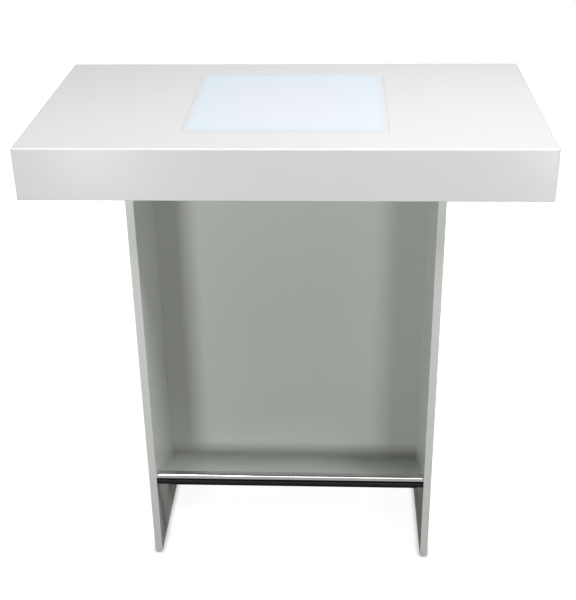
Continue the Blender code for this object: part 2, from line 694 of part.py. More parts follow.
def glide_outline():
    stem_top = GLIDE_HEIGHT + FIT + GLIDE_STEM_LENGTH
    stem = GLIDE_STEM_RADIUS
    return [
        (0, stem_top), (stem - GLIDE_EDGE, stem_top), (stem, stem_top - GLIDE_EDGE), (stem, GLIDE_HEIGHT),
        (GLIDE_RADIUS, GLIDE_HEIGHT), (GLIDE_RADIUS, GLIDE_EDGE), (GLIDE_RADIUS - GLIDE_EDGE, 0), (0, 0)]


def build_glides(frame, plastic, brass, panels):
    """The screw-in glides under the side panels, each in a threaded sleeve."""
    for name, side in SIDES:
        for face_name, face in FACES:
            label = f"{face_name}_{name}"
            place = (side * PANEL_X, face * (PEDESTAL_DEPTH / 2 - GLIDE_INSET), 0)
            add_object(f"glide_{label}", turned(glide_outline(), ROUND_SIDES), plastic, frame, place)
            outline = ring(INSERT_RADIUS, GLIDE_STEM_RADIUS + FIT, INSERT_LENGTH)
            sleeve = turned(outline, ROUND_SIDES, closed=True)
            top = (place[0], place[1], PANEL_BOTTOM + INSERT_LENGTH)
            add_object(f"glide_insert_{label}", sleeve, brass, frame, top)
            bore = rod(INSERT_RADIUS + FIT, INSERT_LENGTH + FIT + OVERCUT, ROUND_SIDES)
            middle = (place[0], place[1], PANEL_BOTTOM + (INSERT_LENGTH + FIT - OVERCUT) / 2)
            combine(panels[name], add_tool(f"glide_bore_{label}", bore, frame, middle), 'DIFFERENCE')


def build_table():
    for item in list(bpy.data.objects):
        bpy.data.objects.remove(item, do_unlink=True)
    lacquer = finish("white_lacquer", (0.80, 0.80, 0.79), 0.32)
    core = finish("raw_board", (0.50, 0.38, 0.25), 0.85)
    wood = finish("beech", (0.58, 0.40, 0.23), 0.70)
    chrome = finish("chrome", (0.78, 0.78, 0.80), 0.08, 1.0)
    steel = finish("zinced_steel", (0.62, 0.63, 0.65), 0.35, 1.0)
    brass = finish("brass", (0.70, 0.52, 0.24), 0.35, 1.0)
    metal = finish("white_sheet", (0.82, 0.82, 0.82), 0.55)
    circuit = finish("white_circuit_board", (0.85, 0.85, 0.80), 0.50)
    black = finish("black_plastic", (0.02, 0.02, 0.022), 0.45)
    casing = finish("grey_plastic", (0.55, 0.56, 0.57), 0.50)
    top_frame = add_frame("top_frame", (0, 0, TABLE_HEIGHT))
    pedestal_frame = add_frame("pedestal_frame", (0, 0, 0))
    underside = build_box_top(top_frame, lacquer, core)
    build_diffuser(top_frame, opal_acrylic())
    build_light(top_frame, metal, circuit)
    build_driver(top_frame, casing)
    build_inlet(top_frame, black, underside)
    build_switch(top_frame, black, underside)
    build_leads(top_frame, black)
    panels = build_pedestal(pedestal_frame, lacquer)
    build_dowels(pedestal_frame, wood, panels)
    build_top_screws(pedestal_frame, steel, panels, underside)
    build_rails(pedestal_frame, chrome, steel, panels)
    build_glides(pedestal_frame, black, brass, panels)


build_table()
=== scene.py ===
import math

import bmesh
import bpy
from mathutils import Matrix, Vector


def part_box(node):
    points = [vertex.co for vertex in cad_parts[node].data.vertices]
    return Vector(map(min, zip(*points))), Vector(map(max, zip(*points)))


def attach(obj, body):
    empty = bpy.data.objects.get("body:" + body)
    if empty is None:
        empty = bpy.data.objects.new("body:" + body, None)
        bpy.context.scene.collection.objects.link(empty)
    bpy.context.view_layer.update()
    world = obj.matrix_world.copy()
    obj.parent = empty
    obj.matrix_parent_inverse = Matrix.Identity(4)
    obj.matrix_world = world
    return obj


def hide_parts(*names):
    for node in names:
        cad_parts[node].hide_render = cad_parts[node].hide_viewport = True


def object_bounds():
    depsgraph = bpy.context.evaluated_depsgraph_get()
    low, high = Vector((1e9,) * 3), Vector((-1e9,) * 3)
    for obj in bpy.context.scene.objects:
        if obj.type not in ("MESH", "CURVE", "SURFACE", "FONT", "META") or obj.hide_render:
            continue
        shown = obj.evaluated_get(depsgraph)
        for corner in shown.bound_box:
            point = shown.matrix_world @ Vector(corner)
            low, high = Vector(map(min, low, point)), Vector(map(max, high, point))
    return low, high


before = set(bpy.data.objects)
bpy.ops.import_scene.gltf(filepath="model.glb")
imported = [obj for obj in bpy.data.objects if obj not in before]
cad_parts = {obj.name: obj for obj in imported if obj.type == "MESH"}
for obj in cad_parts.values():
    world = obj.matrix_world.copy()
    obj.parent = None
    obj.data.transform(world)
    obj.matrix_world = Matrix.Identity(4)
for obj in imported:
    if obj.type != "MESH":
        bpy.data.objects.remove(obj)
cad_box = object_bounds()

scene = bpy.context.scene
scene.view_settings.view_transform = "Standard"

# Camera: in front of the table and a little to its right, above the height of the top and
# tipped down, as the photograph was taken. Its place and turn were fitted to the table's corners.
camera_place = (0.1117, -2.4313, 1.8617)
camera_yaw = math.radians(-2.848)
camera_pitch = math.radians(27.556)
camera_roll = math.radians(0.900)
camera_sensor = 36
camera_lens = 66.30
camera = bpy.data.objects.new("camera", bpy.data.cameras.new("camera"))
camera.data.sensor_width = camera_sensor
camera.data.lens = camera_lens
camera.matrix_world = (
    Matrix.Translation(camera_place)
    @ Matrix.Rotation(-camera_yaw, 4, "Z")
    @ Matrix.Rotation(math.pi / 2 - camera_pitch, 4, "X")
    @ Matrix.Rotation(-camera_roll, 4, "Z"))
scene.collection.objects.link(camera)
scene.camera = camera

# Floor: a plain pale studio floor that runs out into a white surround. Looked at directly it is
# white, and only the table's shadow greys it, while the light that it throws back is dim. Close
# under the feet its white glow is darkened by ambient occlusion, a painted contact shadow. From
# below it is clear, so that the underside can be looked at.
floor_radius = 6.0
floor_sides = 96
floor_white_near = 0.90
floor_white_from = 0.7
floor_white_full = 2.0
floor_shadow_share = 0.25
floor_contact_reach = 0.014
floor_contact_samples = 16
floor_bounce = (0.135, 0.13, 0.105, 1)


def put_node(tree, kind, values=None, **settings):
    """A shader node with its settings and the values of its unlinked inputs."""
    node = tree.nodes.new(f"ShaderNode{kind}")
    for name, setting in settings.items():
        setattr(node, name, setting)
    for socket, value in (values or {}).items():
        node.inputs[socket].default_value = value
    return node


def seen_directly(tree):
    """1 for rays that look at a surface straight, in a reflection or through something clear."""
    path = put_node(tree, "LightPath")
    either = put_node(tree, "Math", operation="MAXIMUM")
    tree.links.new(path.outputs["Is Camera Ray"], either.inputs[0])
    tree.links.new(path.outputs["Is Glossy Ray"], either.inputs[1])
    all_three = put_node(tree, "Math", operation="MAXIMUM")
    tree.links.new(either.outputs[0], all_three.inputs[0])
    tree.links.new(path.outputs["Is Transmission Ray"], all_three.inputs[1])
    return all_three.outputs[0]


shape = bmesh.new()
bmesh.ops.create_circle(shape, cap_ends=True, segments=floor_sides, radius=floor_radius)
mesh = bpy.data.meshes.new("floor")
shape.to_mesh(mesh)
shape.free()
floor = bpy.data.objects.new("floor", mesh)
scene.collection.objects.link(floor)
floor_paint = bpy.data.materials.new("floor_paint")
floor_paint.use_nodes = True
floor_paint.cycles.emission_sampling = "NONE"
tree = floor_paint.node_tree
tree.nodes.remove(tree.nodes["Principled BSDF"])
where = put_node(tree, "TexCoord")
away = put_node(tree, "VectorMath", operation="LENGTH")
tree.links.new(where.outputs["Object"], away.inputs[0])
white = put_node(tree, "MapRange", {
    "From Min": floor_white_from, "From Max": floor_white_full, "To Min": floor_white_near},
    interpolation_type="SMOOTHSTEP")
tree.links.new(away.outputs["Value"], white.inputs["Value"])
# Painted contact shadow: ambient occlusion darkens the floor's white glow close under the table.
painted_contact_shade = put_node(
    tree, "AmbientOcclusion", {"Distance": floor_contact_reach}, samples=floor_contact_samples)
glow = put_node(tree, "Emission")
tree.links.new(white.outputs["Result"], glow.inputs["Strength"])
tree.links.new(painted_contact_shade.outputs["Color"], glow.inputs["Color"])
shade = put_node(tree, "BsdfDiffuse", {"Color": (*[floor_shadow_share] * 3, 1)})
looks = put_node(tree, "AddShader")
tree.links.new(glow.outputs[0], looks.inputs[0])
tree.links.new(shade.outputs[0], looks.inputs[1])
bounce = put_node(tree, "BsdfDiffuse", {"Color": floor_bounce})
choice = put_node(tree, "MixShader")
tree.links.new(seen_directly(tree), choice.inputs["Fac"])
tree.links.new(bounce.outputs[0], choice.inputs[1])
tree.links.new(looks.outputs[0], choice.inputs[2])
side = put_node(tree, "NewGeometry")
clear = put_node(tree, "BsdfTransparent")
from_above = put_node(tree, "MixShader")
tree.links.new(side.outputs["Backfacing"], from_above.inputs["Fac"])
tree.links.new(choice.outputs[0], from_above.inputs[1])
tree.links.new(clear.outputs[0], from_above.inputs[2])
tree.links.new(from_above.outputs[0], tree.nodes["Material Output"].inputs["Surface"])
mesh.materials.append(floor_paint)

# Dark drapes: a matt cloth on the studio floor and a curtain before and behind the table. Only
# reflections show them, so that the chrome and the lacquer have something dark to mirror.
drape_reach = 3.5
drape_half_width = 4.0
curtain_height = 1.9
cloth_lift = 0.0003
drape_black = (0.008, 0.008, 0.009, 1)
matt_drape = bpy.data.materials.new("matt_drape")
matt_drape.use_nodes = True
matt_drape.node_tree.nodes["Principled BSDF"].inputs["Base Color"].default_value = drape_black
matt_drape.node_tree.nodes["Principled BSDF"].inputs["Roughness"].default_value = 1.0
shape = bmesh.new()
cloth_size = Matrix.Diagonal((drape_half_width, drape_reach, 1, 1))
bmesh.ops.create_grid(
    shape, x_segments=1, y_segments=1, size=1,
    matrix=Matrix.Translation((0, 0, cloth_lift)) @ cloth_size)
for side in (-1, 1):
    hem = [e for e in shape.edges if all(v.co.y * side > drape_reach / 2 for v in e.verts)]
    hung = bmesh.ops.extrude_edge_only(shape, edges=hem)
    top = [v for v in hung["geom"] if isinstance(v, bmesh.types.BMVert)]
    bmesh.ops.translate(shape, verts=top, vec=(0, 0, curtain_height))
mesh = bpy.data.meshes.new("drapes")
shape.to_mesh(mesh)
shape.free()
mesh.materials.append(matt_drape)
drapes = bpy.data.objects.new("drapes", mesh)
drapes.visible_camera = False
drapes.visible_diffuse = False
drapes.visible_shadow = False
scene.collection.objects.link(drapes)

# Canopy: a grey cloth stretched from the front curtain up to a narrow white one, both evenly lit.
# They show in reflections only, as the highlight along the chrome and the grey band below it.
canopy_height = 3.2
white_band_front = -1.13
white_band_rear = -0.86
canopy_edges = (
    (-drape_reach, curtain_height), (white_band_front, canopy_height),
    (white_band_rear, canopy_height))
canopy_tones = ((0.62, 0.60, 0.60, 1), (6.0, 6.0, 6.0, 1))
shape = bmesh.new()
rows = [
    [shape.verts.new((x, y, z)) for x in (-drape_half_width, drape_half_width)]
    for y, z in canopy_edges]
mesh = bpy.data.meshes.new("canopy")
for number, tone in enumerate(canopy_tones):
    near, far = rows[number:number + 2]
    shape.faces.new(near + far[::-1]).material_index = number
    canopy_cloth = bpy.data.materials.new(f"canopy_cloth_{number + 1}")
    canopy_cloth.use_nodes = True
    canopy_cloth.cycles.emission_sampling = "NONE"
    tree = canopy_cloth.node_tree
    tree.nodes.remove(tree.nodes["Principled BSDF"])
    evenly = put_node(tree, "Emission", {"Color": tone})
    tree.links.new(evenly.outputs[0], tree.nodes["Material Output"].inputs["Surface"])
    mesh.materials.append(canopy_cloth)
shape.to_mesh(mesh)
shape.free()
canopy = bpy.data.objects.new("canopy", mesh)
canopy.visible_camera = False
canopy.visible_diffuse = False
canopy.visible_shadow = False
scene.collection.objects.link(canopy)

# Surround: plain white where it is looked at, straight or in a reflection. The light that it
# sheds on the table is dim, because the lamps do the lighting.
surround_light = (0.95, 1.0, 0.97)
surround_strength = 0.012
surround = bpy.data.worlds.new("surround")
surround.use_nodes = True
scene.world = surround
tree = surround.node_tree
ambient = tree.nodes["Background"]
ambient.inputs["Color"].default_value = (*surround_light, 1)
ambient.inputs["Strength"].default_value = surround_strength
backdrop = put_node(tree, "Background", {"Color": (1, 1, 1, 1), "Strength": 1.0})
choice = put_node(tree, "MixShader")
tree.links.new(seen_directly(tree), choice.inputs["Fac"])
tree.links.new(ambient.outputs[0], choice.inputs[1])
tree.links.new(backdrop.outputs[0], choice.inputs[2])
tree.links.new(choice.outputs[0], tree.nodes["World Output"].inputs["Surface"])

# Lamps: a square soft box on each side of the camera at the height of the top, lower ones behind
# the table and at its ends, and three lamps that hang over it. So that no glare burns out, the
# lacquer mirrors only two of the hanging lamps and a dim board below each front soft box.
mirrored_boards = ("left_board", "right_board")
mirrored_lamps = ("left_hanging_lamp", "right_hanging_lamp")
lamps = (
    ("left_lamp", (-0.98, -2.40, 1.10), (0, 0, 0.6), (0.45, 0.45), 23.7, (0.985, 1.0, 0.98)),
    ("right_lamp", (1.14, -2.40, 1.10), (0, 0, 0.6), (0.50, 0.45), 15.0, (0.985, 1.0, 0.98)),
    ("left_board", (-0.78, -2.00, 0.58), (-0.4, 0, 1.0), (0.22, 0.44), 2.9, (0.96, 1.0, 1.0)),
    ("right_board", (1.04, -2.00, 0.58), (0.5, 0, 1.0), (0.30, 0.44), 5.4, (0.96, 1.0, 1.0)),
    ("right_hanging_lamp", (1.20, -0.97, 3.20), (0, -0.1, 0.9), (0.8, 0.4), 42.5, (1.0, 1.0, 1.0)),
    ("left_hanging_lamp", (-0.80, -0.40, 3.20), (0, -0.1, 1.0), (1.2, 0.6), 16.8, (1.0, 0.995, 1.0)),
    ("rear_left_lamp", (-1.06, 2.40, 0.80), (0, 0, 0.6), (0.45, 0.45), 19.0, (0.985, 1.0, 0.98)),
    ("rear_right_lamp", (1.06, 2.40, 0.80), (0, 0, 0.6), (0.45, 0.45), 19.0, (0.985, 1.0, 0.98)),
    ("left_side_lamp", (-2.60, 0, 0.74), (0, 0, 0.6), (0.60, 0.60), 26.0, (0.985, 1.0, 0.98)),
    ("right_side_lamp", (2.60, 0, 0.74), (0, 0, 0.6), (0.60, 0.60), 26.0, (0.985, 1.0, 0.98)),
    ("rear_hanging_lamp", (0.70, 0.45, 3.20), (0.2, 0.1, 1.0), (1.2, 0.6), 13.6, (1.0, 1.0, 1.0)),
)
for name, place, aim, size, power, colour in lamps:
    light = bpy.data.lights.new(name, "AREA")
    light.shape = "RECTANGLE"
    light.size, light.size_y = size
    light.energy = power
    light.color = colour
    lamp = bpy.data.objects.new(name, light)
    turn = (Vector(aim) - Vector(place)).to_track_quat("-Z", "Y")
    lamp.matrix_world = Matrix.Translation(place) @ turn.to_matrix().to_4x4()
    lamp.visible_camera = False
    lamp.visible_diffuse = name not in mirrored_boards
    lamp.visible_glossy = name in mirrored_boards + mirrored_lamps
    scene.collection.objects.link(lamp)

# Pedestal: two side panels, the panel between them and the ledge that it stands on, fibreboard
# with eased edges, sprayed in white satin lacquer. The lacquer is faintly clouded and pebbled,
# and shoes have dulled it a little towards the floor. The centre panel and the ledge take a
# darker copy of the same white, which is painted shade for the recess between the side panels.
leg_white = (0.775, 0.795, 0.778, 1)
# Painted shade: the centre panel and the ledge are the legs' white lacquer, darkened for the shade
# in the recess.
painted_shade_white = (0.62, 0.64, 0.615, 1)
lacquer_roughness = 0.44
lacquer_cloud_scale = 2.4
lacquer_wipe_scale = 11
lacquer_peel_scale = 240
lacquer_peel_strength = 0.10
lacquer_peel_depth = 0.0004
lacquer_coat = 0.8
lacquer_coat_roughness = 0.26
scuff_grey = (0.42, 0.42, 0.40, 1)
scuff_scale = 34
scuff_reach = 0.16
scuff_share = 0.25
mix_sockets = (0, 6, 7)
mix_result = 2


def make_group(name, inputs, outputs):
    """An empty shader node group with named sockets, and its two end nodes."""
    group = bpy.data.node_groups.new(name, "ShaderNodeTree")
    for way, sockets in (("INPUT", inputs), ("OUTPUT", outputs)):
        for socket, kind in sockets:
            group.interface.new_socket(socket, in_out=way, socket_type=f"NodeSocket{kind}")
    return group, group.nodes.new("NodeGroupInput"), group.nodes.new("NodeGroupOutput")


def use_group(tree, group, values=None):
    """A node group placed in a material with its own values."""
    node = tree.nodes.new("ShaderNodeGroup")
    node.node_tree = group
    for socket, value in (values or {}).items():
        node.inputs[socket].default_value = value
    return node


def noise(tree, coordinates, scale, detail, roughness=0.5, distortion=0.0):
    """A noise value over the piece's own coordinates."""
    node = put_node(tree, "TexNoise", {
        "Scale": scale, "Detail": detail, "Roughness": roughness, "Distortion": distortion})
    tree.links.new(coordinates, node.inputs["Vector"])
    return node.outputs["Fac"]


def spread(tree, value, low, high, to_low, to_high):
    """A value mapped from one range to another and held inside it."""
    node = put_node(tree, "MapRange", {
        "From Min": low, "From Max": high, "To Min": to_low, "To Max": to_high})
    tree.links.new(value, node.inputs["Value"])
    return node.outputs["Result"]


def feed(tree, socket, value):
    """Link an input to another node's output, or set it to a plain value."""
    if isinstance(value, bpy.types.NodeSocket):
        tree.links.new(value, socket)
    else:
        socket.default_value = value


def calculate(tree, operation, first, second):
    """Two values, or a value and a number, through a math node."""
    node = put_node(tree, "Math", operation=operation)
    for socket, value in zip(node.inputs, (first, second)):
        feed(tree, socket, value)
    return node.outputs[0]


def blend(tree, factor, first, second, blend_type="MIX"):
    """Two colours mixed by a factor; each may be an output or a plain value."""
    node = put_node(tree, "Mix", data_type="RGBA", blend_type=blend_type)
    for number, value in zip(mix_sockets, (factor, first, second)):
        feed(tree, node.inputs[number], value)
    return node.outputs[mix_result]


def own_coordinates(tree):
    """The place of a point in its piece's own frame."""
    return put_node(tree, "TexCoord").outputs["Object"]


def new_finish(name, metallic=0.0):
    """A material, its node tree and its shader."""
    material = bpy.data.materials.new(name)
    material.use_nodes = True
    shader = material.node_tree.nodes["Principled BSDF"]
    shader.inputs["Metallic"].default_value = metallic
    return material, material.node_tree, shader


def raise_surface(tree, shader, height, strength, depth):
    """Bump from a height value."""
    bump = put_node(tree, "Bump", {"Strength": strength, "Distance": depth})
    tree.links.new(height, bump.inputs["Height"])
    tree.links.new(bump.outputs["Normal"], shader.inputs["Normal"])


def dress(material, *names):
    """Give CAD nodes their finish."""
    for name in names:
        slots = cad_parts[name].data.materials
        slots.clear()
        slots.append(material)


sprayed_lacquer, given, made = make_group(
    "sprayed_lacquer",
    [("Paint", "Color"), ("Sheen", "Float")],
    [("Color", "Color"), ("Roughness", "Float"), ("Height", "Float")])
place = own_coordinates(sprayed_lacquer)
clouds = noise(sprayed_lacquer, place, lacquer_cloud_scale, 3)
clouded = spread(sprayed_lacquer, clouds, 0.35, 0.65, 0.975, 1.0)
sprayed_lacquer.links.new(
    blend(sprayed_lacquer, 1.0, given.outputs["Paint"], clouded, "MULTIPLY"), made.inputs["Color"])
wipes = noise(sprayed_lacquer, place, lacquer_wipe_scale, 6, 0.62, 1.2)
wiped = spread(sprayed_lacquer, wipes, 0.3, 0.7, -0.05, 0.05)
sprayed_lacquer.links.new(
    calculate(sprayed_lacquer, "ADD", given.outputs["Sheen"], wiped), made.inputs["Roughness"])
sprayed_lacquer.links.new(
    noise(sprayed_lacquer, place, lacquer_peel_scale, 1), made.inputs["Height"])

shoe_scuffs, given, made = make_group("shoe_scuffs", [("Reach", "Float")], [("Mask", "Float")])
place = own_coordinates(shoe_scuffs)
level = put_node(shoe_scuffs, "SeparateXYZ")
shoe_scuffs.links.new(place, level.inputs[0])
low_down = put_node(shoe_scuffs, "MapRange", {"From Min": 0.0, "To Min": 1.0, "To Max": 0.0})
shoe_scuffs.links.new(level.outputs["Z"], low_down.inputs["Value"])
shoe_scuffs.links.new(given.outputs["Reach"], low_down.inputs["From Max"])
rubs = noise(shoe_scuffs, place, scuff_scale, 5, 0.6, 0.8)
rubbed = spread(shoe_scuffs, rubs, 0.50, 0.72, 0.0, 1.0)
shoe_scuffs.links.new(
    calculate(shoe_scuffs, "MULTIPLY", low_down.outputs["Result"], rubbed), made.inputs["Mask"])

# The side panels get the plain white; the centre panel and the ledge get its darker copy, which is
# painted shade.
for name, white, boards in (
        ("leg_lacquer", leg_white, ("left_side_panel", "right_side_panel")),
        ("painted_shade_lacquer", painted_shade_white, ("centre_panel", "bottom_board"))):
    lacquer, tree, shader = new_finish(name)
    coat = use_group(tree, sprayed_lacquer, {"Paint": white, "Sheen": lacquer_roughness})
    scuffs = use_group(tree, shoe_scuffs, {"Reach": scuff_reach})
    worn = calculate(tree, "MULTIPLY", scuffs.outputs["Mask"], scuff_share)
    tree.links.new(blend(tree, worn, coat.outputs["Color"], scuff_grey), shader.inputs["Base Color"])
    tree.links.new(
        calculate(tree, "ADD", coat.outputs["Roughness"], worn), shader.inputs["Roughness"])
    raise_surface(tree, shader, coat.outputs["Height"], lacquer_peel_strength, lacquer_peel_depth)
    shader.inputs["Coat Weight"].default_value = lacquer_coat
    shader.inputs["Coat Roughness"].default_value = lacquer_coat_roughness
    dress(lacquer, *boards)

# Dowels: plain beech pins with chamfered ends, in blind holes, that join the ledge and the centre
# panel to the side panels. They don't show once the pedestal is together.
beech_light = (0.62, 0.44, 0.26, 1)
beech_dark = (0.46, 0.30, 0.16, 1)
beech_stretch = (12, 160, 160)
beech_grain_scale = 4
beech_grain_strength = 0.2
beech_grain_depth = 0.0003
beech, tree, shader = new_finish("beech")
stretch = put_node(tree, "Mapping", {"Scale": beech_stretch})
tree.links.new(own_coordinates(tree), stretch.inputs["Vector"])
grain = noise(tree, stretch.outputs["Vector"], beech_grain_scale, 4, 0.6)
tree.links.new(
    blend(tree, spread(tree, grain, 0.35, 0.65, 0, 1), beech_light, beech_dark),
    shader.inputs["Base Color"])
tree.links.new(spread(tree, grain, 0.3, 0.7, 0.55, 0.7), shader.inputs["Roughness"])
raise_surface(tree, shader, grain, beech_grain_strength, beech_grain_depth)
pins = [f"{kind}_dowel_{side}_{number}"
        for kind in ("panel", "ledge") for side in ("left", "right") for number in (1, 2)]
dress(beech, *pins)

# Filler beads: a thin coved bead of filler along each inner corner of the two niches, where the
# centre panel, the side panels and the ledge meet. It is sprayed over together with the boards,
# in the centre panel's darker lacquer, which is painted shade for the niche.
bead_radius = 0.0015
bead_gap = 0.00005
bead_steps = 5
bead_stop = 0.003
crisp_angle = math.radians(32)


def add_piece(name, shape, material, body="table"):
    """A finished bmesh as a smooth piece with crisp edges that rides on a body."""
    mesh = bpy.data.meshes.new(name)
    shape.to_mesh(mesh)
    shape.free()
    mesh.shade_smooth()
    mesh.set_sharp_from_angle(angle=crisp_angle)
    mesh.materials.append(material)
    piece = bpy.data.objects.new(name, mesh)
    scene.collection.objects.link(piece)
    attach(piece, body)
    return piece


def corners_of(node):
    """The lowest and the highest corner of a CAD piece."""
    return [Vector(corner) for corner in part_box(node)]


def run_bead(name, start, end, first, second):
    """A coved bead along a corner line, between the two ways that lead out of the corner."""
    angles = [step / bead_steps * math.pi / 2 for step in range(bead_steps + 1)]
    cove = [(bead_radius * (1 - math.cos(a)), bead_radius * (1 - math.sin(a))) for a in angles]
    shape = bmesh.new()
    outline = [
        shape.verts.new(start + first * (bead_gap + across) + second * (bead_gap + along))
        for across, along in [(0, 0)] + cove]
    run = bmesh.ops.extrude_face_region(shape, geom=[shape.faces.new(outline)], use_keep_orig=True)
    far = [v for v in run["geom"] if isinstance(v, bmesh.types.BMVert)]
    bmesh.ops.translate(shape, verts=far, vec=end - start)
    bmesh.ops.recalc_face_normals(shape, faces=shape.faces[:])
    add_piece(name, shape, bpy.data.materials["painted_shade_lacquer"])


niche_left = corners_of("left_side_panel")[1].x
niche_right = corners_of("right_side_panel")[0].x
niche_foot = corners_of("bottom_board")[1].z
niche_head = corners_of("underside_board")[0].z - bead_gap
past_bead = bead_radius + 2 * bead_gap
up = Vector((0, 0, 1))
for face, corner, out in (("front", 0, -1), ("rear", 1, 1)):
    panel_face = corners_of("centre_panel")[corner].y
    ledge_edge = corners_of("bottom_board")[corner].y - out * bead_stop
    outwards = Vector((0, out, 0))
    run_bead(
        f"{face}_ledge_bead", Vector((niche_left + past_bead, panel_face, niche_foot)),
        Vector((niche_right - past_bead, panel_face, niche_foot)), outwards, up)
    for side, niche_side, inwards in (("left", niche_left, 1), ("right", niche_right, -1)):
        run_bead(
            f"{face}_{side}_bead", Vector((niche_side, panel_face, niche_foot + bead_gap)),
            Vector((niche_side, panel_face, niche_head)), Vector((inwards, 0, 0)), outwards)
        run_bead(
            f"{face}_{side}_ledge_bead",
            Vector((niche_side, panel_face + out * past_bead, niche_foot)),
            Vector((niche_side, ledge_edge, niche_foot)), Vector((inwards, 0, 0)), up)

# Foot rails: chrome-plated steel tubes, one on each side of the centre panel, cut square and
# clamped between the side panels. The plating is smooth, with faint smears from shoes.
chrome_colour = (0.62, 0.63, 0.63, 1)
chrome_smeared = (0.55, 0.55, 0.55, 1)
rail_wall = 0.0015
rail_chamfer = 0.0003
rail_steps = 128
rail_weld = 1e-6
smear_scale = 16
chrome, tree, shader = new_finish("chrome", metallic=1.0)
place = own_coordinates(tree)
smears = spread(tree, noise(tree, place, smear_scale, 5, 0.6, 1.0), 0.45, 0.75, 0.0, 1.0)
tree.links.new(blend(tree, smears, chrome_colour, chrome_smeared), shader.inputs["Base Color"])
tree.links.new(spread(tree, smears, 0.0, 1.0, 0.05, 0.13), shader.inputs["Roughness"])
for name in ("front", "rear"):
    low, high = corners_of(f"{name}_foot_rail")
    rail_half = (high.x - low.x) / 2
    rail_radius = (high.z - low.z) / 2
    shape = bmesh.new()
    outline = [
        (-rail_half, rail_radius - rail_wall), (-rail_half, rail_radius - rail_chamfer),
        (-rail_half + rail_chamfer, rail_radius), (rail_half - rail_chamfer, rail_radius),
        (rail_half, rail_radius - rail_chamfer), (rail_half, rail_radius - rail_wall)]
    points = [shape.verts.new((x, 0, radius)) for x, radius in outline]
    lines = [shape.edges.new(pair) for pair in zip(points, points[1:] + points[:1])]
    bmesh.ops.spin(
        shape, geom=points + lines, cent=(0, 0, 0), axis=(1, 0, 0), angle=math.tau,
        steps=rail_steps, use_merge=True)
    bmesh.ops.remove_doubles(shape, verts=shape.verts[:], dist=rail_weld)
    bmesh.ops.recalc_face_normals(shape, faces=shape.faces[:])
    bmesh.ops.translate(shape, verts=shape.verts[:], vec=(low + high) / 2)
    tube = add_piece(f"{name}_rail_tube", shape, chrome)
    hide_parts(f"{name}_foot_rail")

# Rail fixings and top screws: a turned plug sits in each end of a rail and takes a bolt through
# the side panel, and four screws hold the top on the pedestal. Zinc-plated and faintly mottled.
zinc_bright = (0.66, 0.67, 0.69, 1)
zinc_dull = (0.52, 0.53, 0.55, 1)
zinc_mottle_scale = 420
zinced_steel, tree, shader = new_finish("zinced_steel", metallic=1.0)
mottle = noise(tree, own_coordinates(tree), zinc_mottle_scale, 3)
tree.links.new(
    blend(tree, spread(tree, mottle, 0.35, 0.65, 0, 1), zinc_bright, zinc_dull),
    shader.inputs["Base Color"])
tree.links.new(spread(tree, mottle, 0.3, 0.7, 0.26, 0.42), shader.inputs["Roughness"])
corners = [f"{face}_{side}" for face in ("front", "rear") for side in ("left", "right")]
for kind in ("rail_plug", "rail_bolt", "top_screw"):
    dress(zinced_steel, *[f"{kind}_{corner}" for corner in corners])

# Glides: black moulded feet on threaded stems, which turn in brass sleeves let into the bottom
# edges of the side panels to level the table.
plastic_black = (0.022, 0.022, 0.024, 1)
plastic_worn = (0.055, 0.055, 0.056, 1)
plastic_fineness = 1400
moulded_rub_scale = 60
moulded_strength = 0.25
moulded_depth = 0.0001
moulded_grain, given, made = make_group(
    "moulded_grain", [("Fineness", "Float")], [("Grain", "Float"), ("Rub", "Float")])
place = own_coordinates(moulded_grain)
pits = put_node(moulded_grain, "TexNoise", {"Detail": 2.0})
moulded_grain.links.new(place, pits.inputs["Vector"])
moulded_grain.links.new(given.outputs["Fineness"], pits.inputs["Scale"])
moulded_grain.links.new(pits.outputs["Fac"], made.inputs["Grain"])
rubs = noise(moulded_grain, place, moulded_rub_scale, 4, 0.6)
moulded_grain.links.new(spread(moulded_grain, rubs, 0.5, 0.75, 0.0, 1.0), made.inputs["Rub"])
black_plastic, tree, shader = new_finish("black_plastic")
grain = use_group(tree, moulded_grain, {"Fineness": plastic_fineness})
tree.links.new(
    blend(tree, grain.outputs["Rub"], plastic_black, plastic_worn), shader.inputs["Base Color"])
tree.links.new(
    spread(tree, grain.outputs["Grain"], 0.3, 0.7, 0.42, 0.58), shader.inputs["Roughness"])
raise_surface(tree, shader, grain.outputs["Grain"], moulded_strength, moulded_depth)
dress(black_plastic, *[f"glide_{corner}" for corner in corners])
brass_bright = (0.74, 0.56, 0.28, 1)
brass_tarnished = (0.55, 0.39, 0.17, 1)
tarnish_scale = 300
brass, tree, shader = new_finish("brass", metallic=1.0)
tarnish = spread(tree, noise(tree, own_coordinates(tree), tarnish_scale, 4), 0.4, 0.7, 0, 1)
tree.links.new(blend(tree, tarnish, brass_bright, brass_tarnished), shader.inputs["Base Color"])
tree.links.new(spread(tree, tarnish, 0, 1, 0.25, 0.45), shader.inputs["Roughness"])
dress(brass, *[f"glide_insert_{corner}" for corner in corners])

# Carcass of the box top: raw fibreboard webs and ribs that stand on the underside board, wall
# the light well and carry the top board.
fibre_light = (0.54, 0.42, 0.28, 1)
fibre_dark = (0.43, 0.32, 0.20, 1)
fibre_scale = 700
fibre_strength = 0.3
fibre_depth = 0.0002
raw_board, tree, shader = new_finish("raw_board")
fibres = noise(tree, own_coordinates(tree), fibre_scale, 5, 0.7)
tree.links.new(
    blend(tree, spread(tree, fibres, 0.35, 0.65, 0, 1), fibre_light, fibre_dark),
    shader.inputs["Base Color"])
tree.links.new(spread(tree, fibres, 0.3, 0.7, 0.75, 0.9), shader.inputs["Roughness"])
raise_surface(tree, shader, fibres, fibre_strength, fibre_depth)
dress(raw_board, "front_web", "rear_web", "left_web", "right_web", "left_rib", "right_rib")

